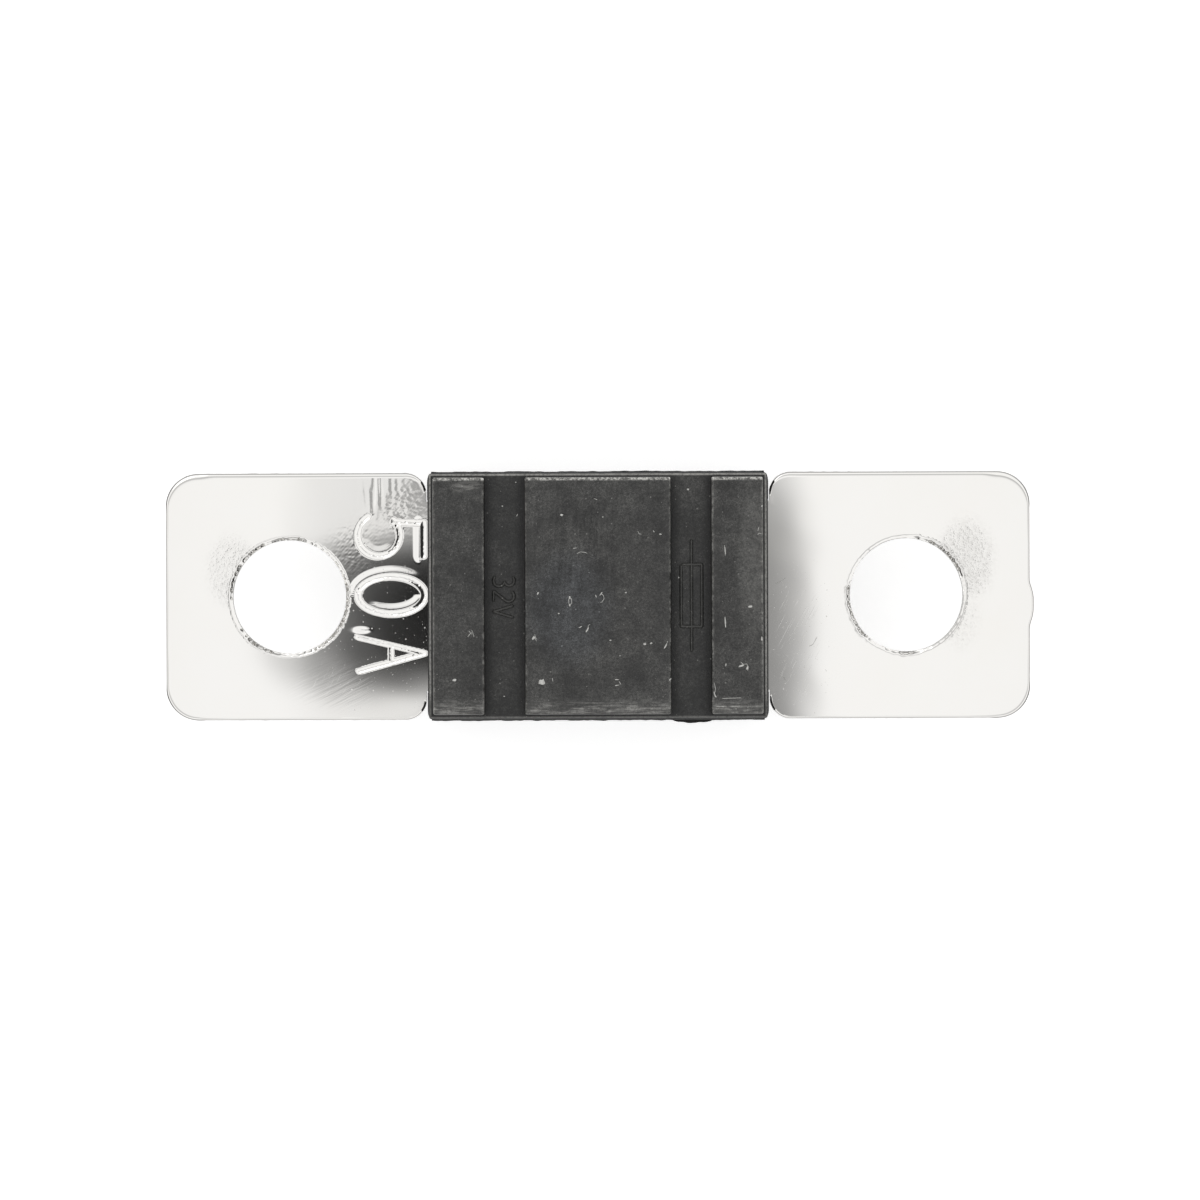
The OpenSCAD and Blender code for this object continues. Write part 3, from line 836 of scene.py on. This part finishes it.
def raised_line(points, half_width, top, base):
    """A low ridge along a line of points, with a half-round section whose foot is sunk a
    little: across it the height goes as the cosine, and at its ends it narrows to nothing."""
    points = np.array(points, float)
    steps = np.linalg.norm(np.diff(points, axis=0), axis=1)
    length = np.concatenate([[0], np.cumsum(steps)])
    count = max(8, int(length[-1] / 0.05))
    where = np.linspace(0, length[-1], count)
    path = np.stack([np.interp(where, length, points[:, axis]) for axis in (0, 1)], axis=1)
    ahead = np.gradient(path, axis=0)
    ahead /= np.linalg.norm(ahead, axis=1)[:, None] + 1e-9
    left = np.stack([-ahead[:, 1], ahead[:, 0]], axis=1)
    from_end = np.minimum(where, length[-1] - where)
    narrowing = np.sqrt(np.clip(from_end / half_width, 0.02, 1))
    across = np.linspace(-1, 1, 9)
    x = path[:, None, 0] + left[:, None, 0] * half_width * across * narrowing[:, None]
    y = path[:, None, 1] + left[:, None, 1] * half_width * across * narrowing[:, None]
    z = base + (top + 0.01) * np.cos(across * np.pi / 2)[None] * narrowing[:, None] - 0.01
    low = np.full_like(x[:, 1:-1], base - 0.012)
    ring = np.stack([
        np.concatenate([x, x[:, 1:-1][:, ::-1]], axis=1),
        np.concatenate([y, y[:, 1:-1][:, ::-1]], axis=1),
        np.concatenate([z, low], axis=1),
    ], axis=2)
    return ring


def add_mesh(name, rings, material):
    """An object made of tubes: each a grid of points, round by its columns, with both ends
    closed by a face."""
    corners, quads, start = [], [], 0
    for ring in rings:
        rows, columns = ring.shape[:2]
        corners.append(ring.reshape(-1, 3))
        closed = grid_faces(rows, columns, start, np.zeros((rows, columns), bool), turned=False)
        closed = closed.reshape(rows, columns, 4)[:-1].reshape(-1, 4)
        quads += closed.tolist()
        quads.append((start + np.arange(columns))[::-1].tolist())
        quads.append((start + (rows - 1) * columns + np.arange(columns)).tolist())
        start += rows * columns
    mesh = bpy.data.meshes.new(name)
    mesh.from_pydata((np.concatenate(corners) * MM).tolist(), [], quads)
    mesh.validate()
    build = bmesh.new()
    build.from_mesh(mesh)
    bmesh.ops.recalc_face_normals(build, faces=build.faces)
    build.to_mesh(mesh)
    build.free()
    mesh.shade_smooth()
    mesh.materials.append(material)
    piece = bpy.data.objects.new(name, mesh)
    bpy.context.scene.collection.objects.link(piece)
    return piece


def written(base, up, right, size):
    """A point of a figure on the shell: up is towards +X and right is towards -Y."""
    return base[0] + size * up, base[1] - size * right


def bowl(base, size, middle, radius, first, last):
    """Part of a ring in a figure, between two angles from its right, in degrees."""
    angle = np.radians(np.linspace(first, last, 24))
    return [written(base, middle[0] + radius * np.sin(a), middle[1] + radius * np.cos(a), size)
            for a in angle]


size = 1.0
three = bowl((-5.05, 1.02), size, (0.77, 0.28), 0.24, 150, -90)
three += bowl((-5.05, 1.02), size, (0.27, 0.28), 0.27, 80, -150)
two = bowl((-5.05, 0.27), size, (0.74, 0.28), 0.26, 160, -35)
two += [written((-5.05, 0.27), 0, 0.02, size), written((-5.05, 0.27), 0, 0.56, size)]
volt = [written((-5.05, -0.45), up, right, size) for up, right in ((1, 0), (0, 0.3), (1, 0.6))]
marks = [three, two, volt]
symbol_x, symbol_half = 4.52, (0.5, 1.5)
right, left = symbol_x + symbol_half[0], symbol_x - symbol_half[0]
marks.append([(symbol_x, 2.75), (symbol_x, -2.75)])
marks.append([(left, 1.5), (right, 1.5), (right, -1.5), (left, -1.5), (left, 1.5)])
groove_marks = add_mesh(
    "groove_marks", [raised_line(m, MARK_HALF, MARK_HEIGHT, GROOVE_FLOOR) for m in marks], black)
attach(groove_marks, "root")


# Crumbs and chips of pale dust that sit on the upper shell, most of them on the middle pad.
# Each is a low dome with an uneven outline: place, half sizes and angle in degrees.
PAD_SURFACE = PARTING_Z + PAD_TOP
CRUMBS = [
    (-2.73, -4.16, 0.16, 0.15, 0), (-1.74, 3.9, 0.08, 0.07, 0), (-6.93, -4.04, 0.1, 0.07, 20),
    (4.37, 5.12, 0.06, 0.05, 0), (7.35, -0.55, 0.11, 0.06, 10), (2.25, -2.34, 0.08, 0.05, 0),
    (2.56, -2.3, 0.07, 0.04, 30), (-3.12, -2.03, 0.1, 0.07, 50), (-1.36, -0.1, 0.05, 0.09, 0),
    (-1.36, -0.45, 0.05, 0.06, 0), (-0.52, -1.65, 0.16, 0.04, 60), (3.02, 2.96, 0.07, 0.04, 0),
    (-2.9, 0.12, 0.08, 0.04, 70), (0.9, -4.05, 0.1, 0.03, 0), (0.9, -4.32, 0.12, 0.03, 10),
    (3.47, -4.05, 0.08, 0.04, 40), (3.25, -2.45, 0.13, 0.04, 60), (3.9, 0.87, 0.05, 0.04, 0),
    (6.14, 2.15, 0.03, 0.28, 4), (6.14, -1.3, 0.035, 0.3, 4), (6.9, -3.4, 0.14, 0.05, 20),
    (7.2, -3.5, 0.12, 0.05, 70), (6.16, -3.35, 0.08, 0.03, 80), (5.62, -4.8, 0.03, 0.16, 20),
    (-6.2, -1.85, 0.17, 0.02, 50), (-3.95, 5.5, 0.04, 0.03, 0), (-4.6, 4.35, 0.04, 0.03, 0),
    (-4.55, -4.84, 0.05, 0.03, 0), (-0.85, -1.5, 0.1, 0.025, 30), (0.15, 0.1, 0.12, 0.025, 50),
    (-1.1, 2.3, 0.13, 0.02, 10), (0.6, -2.15, 0.06, 0.03, 0), (1.35, 0.15, 0.05, 0.03, 0),
    (7.92, 4.3, 0.07, 0.03, 80), (7.75, 3.2, 0.1, 0.02, 70), (7.9, -2.1, 0.04, 0.1, 0),
    (-1.9, -0.85, 0.05, 0.03, 0), (0.25, 3.8, 0.04, 0.03, 0), (-0.1, -0.02, 0.03, 0.08, 20),
    (2.7, 3.1, 0.06, 0.02, 120), (-3.9, 3.9, 0.08, 0.02, 60), (5.9, -5.35, 0.3, 0.018, 0),
    (6.6, -5.35, 0.25, 0.018, 0), (1.05, -2.9, 0.04, 0.03, 0), (-2.2, -4.05, 0.1, 0.02, 100),
]
draw = np.random.default_rng(77)


def crumb(x, y, half_x, half_y, angle):
    """A low dome over an uneven ellipse: rings shrink as the sine, and rise as the cosine."""
    base = GROOVE_FLOOR if 3.6 < abs(x) < 5.42 else PAD_SURFACE
    around_it = np.linspace(0, 2 * np.pi, 12, endpoint=False)
    uneven = 1 + 0.13 * draw.standard_normal(12)
    turn = np.radians(angle)
    rows = []
    for lift in (0.0, 0.35, 0.7, 0.95):
        ring_x = half_x * uneven * np.cos(around_it) * np.cos(lift * np.pi / 2)
        ring_y = half_y * uneven * np.sin(around_it) * np.cos(lift * np.pi / 2)
        rows.append(np.stack([
            x + ring_x * np.cos(turn) - ring_y * np.sin(turn),
            y + ring_x * np.sin(turn) + ring_y * np.cos(turn),
            np.full(12, base - 0.008 + 0.035 * np.sin(lift * np.pi / 2)),
        ], axis=1))
    return np.array(rows)


pale, tree = new_material("pale_dust")
place, x, y, z = in_millimetres(tree)
tone = add_node(tree, "ShaderNodeMix", {"data_type": "RGBA"}, i0=noise(tree, place, 9.0, 2),
                i6=(0.3, 0.3, 0.28, 1), i7=(0.82, 0.81, 0.78, 1)).outputs["Result"]
chalk = add_node(tree, "ShaderNodeBsdfPrincipled", Base_Color=tone, Roughness=0.8)
add_node(tree, "ShaderNodeOutputMaterial", Surface=chalk.outputs[0])
# Fibres and scratches, each a thin line through a few points on the pads or on the strip.
FIBRES = [
    [(-1.42, -0.1), (-1.28, -0.12), (-1.26, -0.38), (-1.4, -0.42), (-1.42, -0.1)],
    [(0.12, 0.12), (0.26, 0.02), (0.3, -0.14), (0.2, -0.3), (0.08, -0.32)],
    [(-1.02, 2.02), (-0.86, 2.12), (-0.62, 2.1), (-0.5, 2.04)],
    [(-0.62, -1.72), (-0.5, -1.6), (-0.46, -1.42), (-0.36, -1.36)],
    [(-3.2, -2.12), (-3.08, -1.98), (-2.94, -2.06)], [(-3.06, -1.82), (-2.98, -2.2)],
    [(3.2, -2.52), (3.3, -2.36), (3.36, -2.18)], [(1.92, 3.12), (2.0, 2.98), (2.12, 2.96)],
    [(6.86, -3.2), (7.0, -3.34), (7.16, -3.3), (7.24, -3.5), (7.2, -3.66)],
    [(5.58, -4.2), (5.66, -4.5), (5.6, -4.76), (5.72, -4.94)], [(5.95, -4.97), (6.92, -4.95)],
    [(-6.24, -1.66), (-6.08, -1.86)], [(-6.1, -1.6), (-5.98, -1.98)],
    [(7.7, 2.9), (7.78, 3.0), (7.9, 2.96)], [(-0.2, 4.7), (0.0, 4.62)], [(1.0, -4.12), (1.1, -4.3)],
    [(8.56, 0.58), (8.8, 0.62), (8.98, 0.74), (9.14, 0.86)], [(10.24, -2.5), (10.44, -2.4), (10.64, -2.04)],
    [(9.0, -3.96), (9.12, -4.14)],
]
FIBRE_HALF = 0.017
dust = [crumb(*place) for place in CRUMBS]
for fibre in FIBRES:
    base = STRIP_TOP if abs(fibre[0][0]) > SHOULDER_X else PAD_SURFACE
    dust.append(raised_line(fibre, FIBRE_HALF, FIBRE_HALF, base))
crumbs = add_mesh("dust_crumbs", dust, pale)
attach(crumbs, "root")


# The flash: plastic that welding squeezed out at the parting line along both long sides. It
# is a thread there, and on the side towards -Y it swells to a thin fin for a short way.
FLASH_REACH = 0.022
FIN = {"from": 3.65, "to": 5.5, "reach": 0.13}


def flash_line(side, seed):
    """A thin irregular ridge along one long wall: it reaches outwards by a small sum of
    waves, and by the root of a sine over the fin's length."""
    along = np.linspace(-8.1, 8.1, 260)
    reach = FLASH_REACH * (1 + 0.5 * waves(along, 0 * along, (0.3, 1.6), 12, seed))
    if side < 0:
        share = np.clip((along - FIN["from"]) / (FIN["to"] - FIN["from"]), 0, 1)
        reach = reach + FIN["reach"] * np.sin(np.pi * share) ** 0.4
    reach = np.clip(reach, 0.004, None)
    thick = 0.03 + 0.25 * reach
    section = np.array([(-0.3, 1.0), (0.3, 0.8), (1.0, 0.15), (1.0, -0.15), (0.3, -0.8), (-0.3, -1.0)])
    y = side * (6.04 + reach[:, None] * section[None, :, 0])
    y[:, [0, 5]] = side * 5.98
    z = PARTING_Z + thick[:, None] * section[None, :, 1]
    return np.stack([np.broadcast_to(along[:, None], y.shape), y, z], axis=2)


flash = add_mesh("mould_flash", [flash_line(-1, 41), flash_line(1, 42)], black)
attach(flash, "root")
